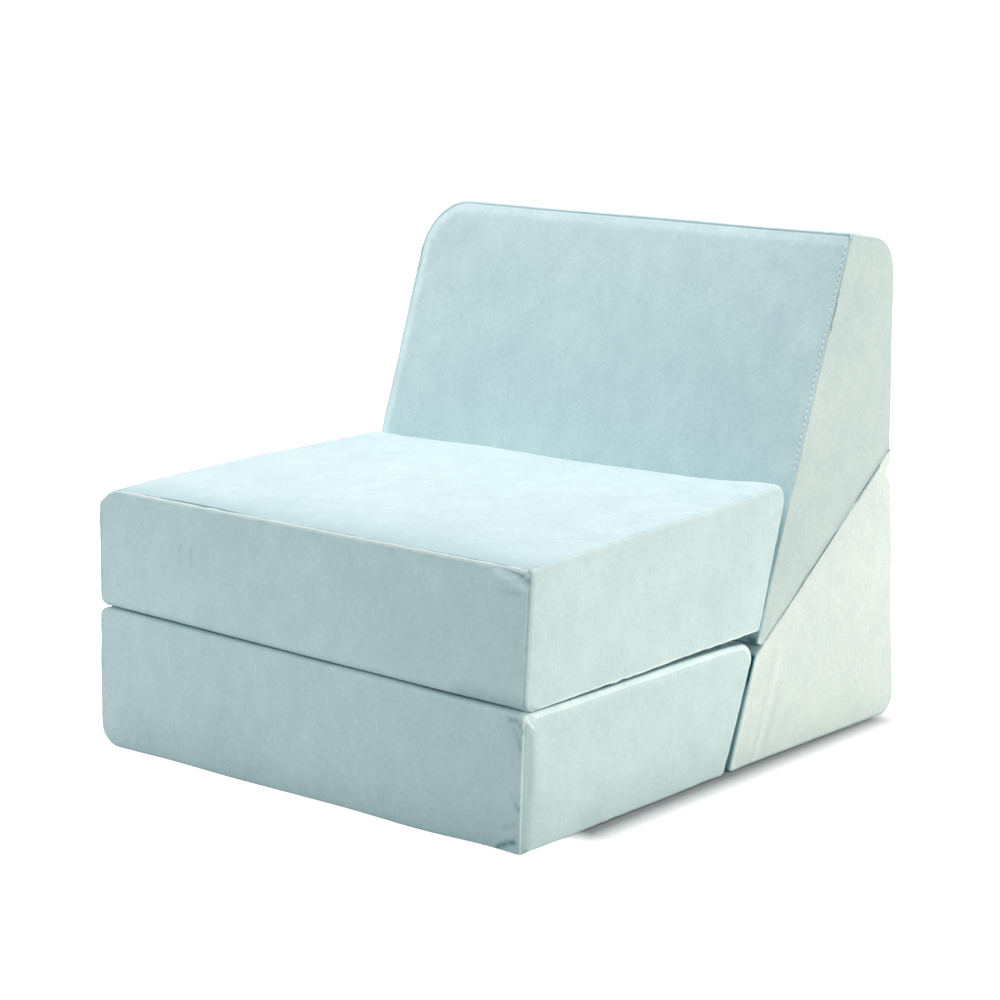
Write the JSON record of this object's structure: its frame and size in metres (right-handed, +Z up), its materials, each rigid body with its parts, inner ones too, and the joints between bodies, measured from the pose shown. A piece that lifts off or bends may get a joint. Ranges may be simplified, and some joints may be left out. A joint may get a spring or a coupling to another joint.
{
  "type": "kids flip open sofa",
  "caption": "Low foam sofa for a child in short-pile fabric. The seat block flips forward and the backrest block tips back on fabric hinges, which opens it into a lounger.",
  "frame": {"origin": "on the floor, in the middle of the footprint", "axes": "+X across the sofa, towards the side that the picture shows; +Y rearwards; +Z up"},
  "size_m": [0.6, 0.638, 0.55],
  "materials": {
    "velvet_cover": "matte",
    "velvet_side": "matte",
    "velvet_rear_side": "matte",
    "velvet_welt": "matte",
    "foam": "matte",
    "hinge_strap": "matte",
    "zip_tape": "matte",
    "zip_slider": "satin",
    "hook_tape": "matte",
    "loop_tape": "matte"
  },
  "bodies": {
    "base_unit": {"base_foam_core": "foam", "base_cover_wrap": "velvet_cover", "base_left_side_panel": "velvet_side", "base_right_side_panel": "velvet_side", "base_zip_tapes": "zip_tape", "wedge_foam_core": "foam", "wedge_cover_wrap": "velvet_cover", "wedge_left_side_panel": "velvet_rear_side", "wedge_right_side_panel": "velvet_rear_side", "wedge_zip_tapes": "zip_tape", "base_hook_strip": "hook_tape", "wedge_loop_strip": "loop_tape", "front_hinge_base_leaf": "hinge_strap", "rear_hinge_wedge_leaf": "hinge_strap"},
    "seat_unit": {"seat_foam_core": "foam", "seat_cover_wrap": "velvet_cover", "seat_left_side_panel": "velvet_side", "seat_right_side_panel": "velvet_side", "seat_zip_tapes": "zip_tape", "seat_front_welt": "velvet_welt", "front_hinge_seat_leaf": "hinge_strap"},
    "backrest_unit": {"backrest_foam_core": "foam", "backrest_cover_wrap": "velvet_cover", "backrest_left_side_panel": "velvet_rear_side", "backrest_right_side_panel": "velvet_rear_side", "backrest_zip_tapes": "zip_tape", "rear_hinge_backrest_leaf": "hinge_strap"},
    "base_slider": {"base_zip_slider": "zip_slider"},
    "wedge_slider": {"wedge_zip_slider": "zip_slider"},
    "seat_slider": {"seat_zip_slider": "zip_slider"},
    "backrest_slider": {"backrest_zip_slider": "zip_slider"}
  },
  "joints": [
    {"name": "seat_flip", "type": "hinge", "parent": "base_unit", "child": "seat_unit", "pos_m": [0, -0.3142, 0.144], "axis": [1, 0, 0], "range_deg": [0, 180]},
    {"name": "backrest_flip", "type": "hinge", "parent": "base_unit", "child": "backrest_unit", "pos_m": [0, 0.31915, 0.275], "axis": [-1, 0, 0], "range_deg": [0, 180]},
    {"name": "base_zip_slide", "type": "slide", "parent": "base_unit", "child": "base_slider", "axis": [1, 0, 0], "range_m": [0, 0.4274]},
    {"name": "wedge_zip_slide", "type": "slide", "parent": "base_unit", "child": "wedge_slider", "axis": [1, 0, 0], "range_m": [0, 0.4274]},
    {"name": "seat_zip_slide", "type": "slide", "parent": "seat_unit", "child": "seat_slider", "axis": [1, 0, 0], "range_m": [0, 0.4274]},
    {"name": "backrest_zip_slide", "type": "slide", "parent": "backrest_unit", "child": "backrest_slider", "axis": [1, 0, 0], "range_m": [0, 0.4274]}
  ],
  "couplings": [
    {"joint": "backrest_flip", "follows": "seat_flip", "ratio": 1}
  ]
}
